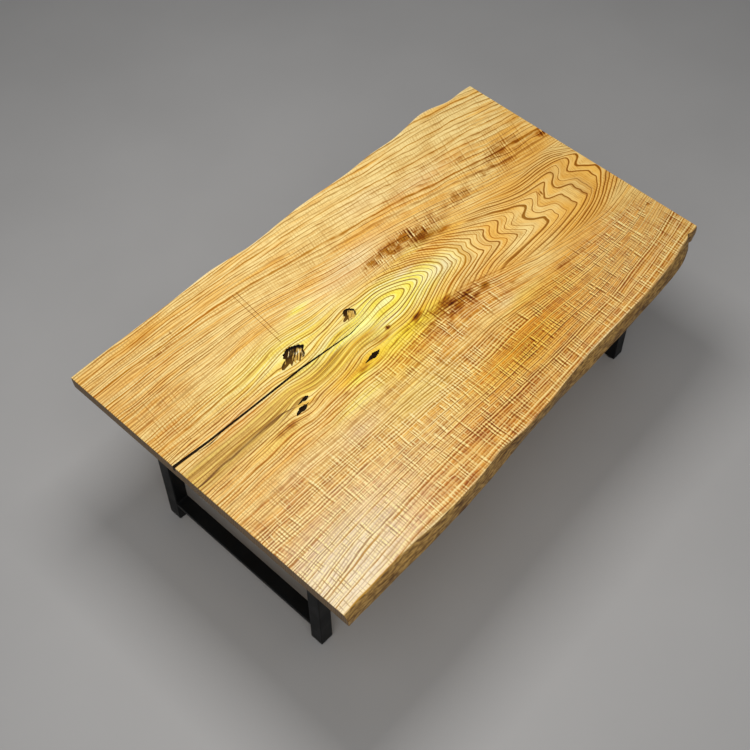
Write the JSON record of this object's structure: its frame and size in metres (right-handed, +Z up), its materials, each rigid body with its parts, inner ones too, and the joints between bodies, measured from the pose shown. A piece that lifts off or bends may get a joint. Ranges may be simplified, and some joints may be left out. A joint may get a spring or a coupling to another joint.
{
  "type": "live edge dining table",
  "caption": "Dining table with one thick live edge wood slab on two welded black steel leg frames that stand on screw levelling feet.",
  "frame": {"origin": "on the floor under the middle of the table's overall box", "axes": "+X along the slab from the wide butt end to the narrow crown end, +Y to the left side seen from the butt end, +Z up"},
  "size_m": [1.8, 1.17, 0.71],
  "materials": {
    "slab_wood": "satin oiled live edge wood with yellow heart, dark rings and knots",
    "black_resin": "black casting resin, polished flush",
    "black_steel": "satin black powder coat",
    "zinc_steel": "zinc plated",
    "insert_brass": "turned brass",
    "plug_plastic": "moulded black nylon",
    "pad_plastic": "moulded black nylon"
  },
  "bodies": {
    "table": {"slab_top": "slab_wood", "crack_resin": "black_resin", "knot_resin": "black_resin", "butt_left_post": "black_steel", "butt_right_post": "black_steel", "butt_foot_rail": "black_steel", "butt_top_plate": "black_steel", "butt_weld_beads": "black_steel", "butt_channel": "black_steel", "crown_left_post": "black_steel", "crown_right_post": "black_steel", "crown_foot_rail": "black_steel", "crown_top_plate": "black_steel", "crown_weld_beads": "black_steel", "crown_channel": "black_steel", "plate_bolts": "zinc_steel", "plate_washers": "zinc_steel", "channel_bolts": "zinc_steel", "channel_washers": "zinc_steel", "plate_inserts": "insert_brass", "channel_inserts": "insert_brass", "post_plugs": "plug_plastic"},
    "butt_left_foot_pad": {"butt_left_foot_pad": "pad_plastic"},
    "butt_left_foot_stud": {"butt_left_foot_stud": "zinc_steel"},
    "butt_right_foot_pad": {"butt_right_foot_pad": "pad_plastic"},
    "butt_right_foot_stud": {"butt_right_foot_stud": "zinc_steel"},
    "crown_left_foot_pad": {"crown_left_foot_pad": "pad_plastic"},
    "crown_left_foot_stud": {"crown_left_foot_stud": "zinc_steel"},
    "crown_right_foot_pad": {"crown_right_foot_pad": "pad_plastic"},
    "crown_right_foot_stud": {"crown_right_foot_stud": "zinc_steel"}
  },
  "joints": [
    {"name": "butt_left_foot_lift", "type": "slide", "parent": "table", "child": "butt_left_foot_pad", "axis": [0, 0, -1], "range_m": [0, 0.009]},
    {"name": "butt_left_foot_turn", "type": "hinge", "parent": "butt_left_foot_pad", "child": "butt_left_foot_stud", "pos_m": [-0.775, 0.355, 0], "axis": [0, 0, -1], "range_deg": [0, 2160]},
    {"name": "butt_right_foot_lift", "type": "slide", "parent": "table", "child": "butt_right_foot_pad", "axis": [0, 0, -1], "range_m": [0, 0.009]},
    {"name": "butt_right_foot_turn", "type": "hinge", "parent": "butt_right_foot_pad", "child": "butt_right_foot_stud", "pos_m": [-0.775, -0.325, 0], "axis": [0, 0, -1], "range_deg": [0, 2160]},
    {"name": "crown_left_foot_lift", "type": "slide", "parent": "table", "child": "crown_left_foot_pad", "axis": [0, 0, -1], "range_m": [0, 0.009]},
    {"name": "crown_left_foot_turn", "type": "hinge", "parent": "crown_left_foot_pad", "child": "crown_left_foot_stud", "pos_m": [0.775, 0.355, 0], "axis": [0, 0, -1], "range_deg": [0, 2160]},
    {"name": "crown_right_foot_lift", "type": "slide", "parent": "table", "child": "crown_right_foot_pad", "axis": [0, 0, -1], "range_m": [0, 0.009]},
    {"name": "crown_right_foot_turn", "type": "hinge", "parent": "crown_right_foot_pad", "child": "crown_right_foot_stud", "pos_m": [0.775, -0.325, 0], "axis": [0, 0, -1], "range_deg": [0, 2160]}
  ],
  "couplings": [
    {"joint": "butt_left_foot_turn", "follows": "butt_left_foot_lift", "rad_per_m": 4188.8},
    {"joint": "butt_right_foot_turn", "follows": "butt_right_foot_lift", "rad_per_m": 4188.8},
    {"joint": "crown_left_foot_turn", "follows": "crown_left_foot_lift", "rad_per_m": 4188.8},
    {"joint": "crown_right_foot_turn", "follows": "crown_right_foot_lift", "rad_per_m": 4188.8}
  ]
}
